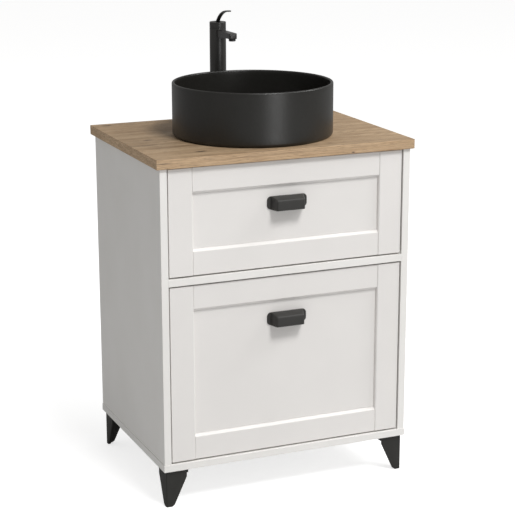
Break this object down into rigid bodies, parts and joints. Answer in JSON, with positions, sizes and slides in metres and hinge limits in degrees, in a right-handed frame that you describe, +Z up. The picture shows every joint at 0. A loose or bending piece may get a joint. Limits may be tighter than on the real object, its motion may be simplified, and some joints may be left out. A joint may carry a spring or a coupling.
{
  "type": "vanity unit with vessel sink",
  "caption": "Free-standing bathroom vanity with framed drawer fronts, cup pulls, tapered feet, a wood-look worktop, a round black vessel basin and a tall lever tap.",
  "frame": {"origin": "on the floor, at the centre of the whole unit's width and depth (from the pull fronts to the worktop's rear edge)", "axes": "+X to the right of someone facing the drawers, +Y towards the wall, +Z up"},
  "size_m": [0.6, 0.462, 1.0345],
  "materials": {
    "white_front": "satin warm-white lacquer on MDF",
    "white_carcass": "satin white melamine on particle board",
    "drawer_board": "matt pale grey melamine",
    "hardboard": "white-faced hardboard",
    "oak_worktop": "matt natural oak decor with grain and knots",
    "black_basin": "matt black glaze",
    "black_tap": "matt black coating on brass",
    "black_waste": "matt black coating on brass",
    "aerator": "black plastic insert",
    "black_pull": "satin black powder coat on zinc",
    "black_foot": "satin black powder coat on steel",
    "zinc_steel": "bright zinc plate",
    "brass_fitting": "bare machined brass",
    "rubber_washer": "black rubber",
    "trap_plastic": "white polypropylene",
    "grey_plastic": "moulded grey plastic"
  },
  "bodies": {
    "vanity": {"upper_left_cabinet_runner": "zinc_steel", "upper_right_cabinet_runner": "zinc_steel", "lower_left_cabinet_runner": "zinc_steel", "lower_right_cabinet_runner": "zinc_steel", "left_side_panel": "white_carcass", "right_side_panel": "white_carcass", "bottom_panel": "white_carcass", "middle_rail": "white_carcass", "front_stretcher": "white_carcass", "wall_rail": "white_carcass", "back_board": "hardboard", "foot_front_left": "black_foot", "foot_front_right": "black_foot", "foot_rear_left": "black_foot", "foot_rear_right": "black_foot", "worktop": "oak_worktop", "basin": "black_basin", "tap_base_ring": "black_tap", "tap_column": "black_tap", "tap_spout": "black_tap", "tap_aerator": "aerator", "tap_shank": "brass_fitting", "tap_nut": "brass_fitting", "waste_body": "black_waste", "waste_washer": "rubber_washer", "waste_nut": "brass_fitting", "trap_tailpipe": "trap_plastic", "trap_head": "trap_plastic", "trap_cup": "trap_plastic", "trap_outlet_pipe": "trap_plastic"},
    "upper_drawer": {"upper_left_stile": "white_front", "upper_right_stile": "white_front", "upper_top_rail": "white_front", "upper_bottom_rail": "white_front", "upper_centre_panel": "white_front", "upper_pull": "black_pull", "upper_left_side": "drawer_board", "upper_right_side": "drawer_board", "upper_bottom": "drawer_board", "upper_left_drawer_runner": "zinc_steel", "upper_right_drawer_runner": "zinc_steel", "upper_back_left": "drawer_board", "upper_back_right": "drawer_board", "upper_trap_bay": "grey_plastic"},
    "lower_drawer": {"lower_left_stile": "white_front", "lower_right_stile": "white_front", "lower_top_rail": "white_front", "lower_bottom_rail": "white_front", "lower_centre_panel": "white_front", "lower_pull": "black_pull", "lower_left_side": "drawer_board", "lower_right_side": "drawer_board", "lower_bottom": "drawer_board", "lower_left_drawer_runner": "zinc_steel", "lower_right_drawer_runner": "zinc_steel", "lower_back": "drawer_board"},
    "tap_handle": {"tap_cap": "black_tap"},
    "lever": {"tap_lever": "black_tap"},
    "plug": {"waste_plug": "black_waste"}
  },
  "joints": [
    {"name": "upper_drawer_slide", "type": "slide", "parent": "vanity", "child": "upper_drawer", "axis": [0, -1, 0], "range_m": [0, 0.3]},
    {"name": "lower_drawer_slide", "type": "slide", "parent": "vanity", "child": "lower_drawer", "axis": [0, -1, 0], "range_m": [0, 0.3]},
    {"name": "tap_handle_swivel", "type": "hinge", "parent": "vanity", "child": "tap_handle", "pos_m": [0, 0.187, 0.99], "axis": [0, 0, 1], "range_deg": [-45, 45]},
    {"name": "tap_lever_lift", "type": "hinge", "parent": "tap_handle", "child": "lever", "pos_m": [0, 0.187, 0.994], "axis": [-1, 0, 0], "range_deg": [0, 20]},
    {"name": "waste_plug_lift", "type": "slide", "parent": "vanity", "child": "plug", "axis": [0, 0, 1], "range_m": [0, 0.008]}
  ]
}
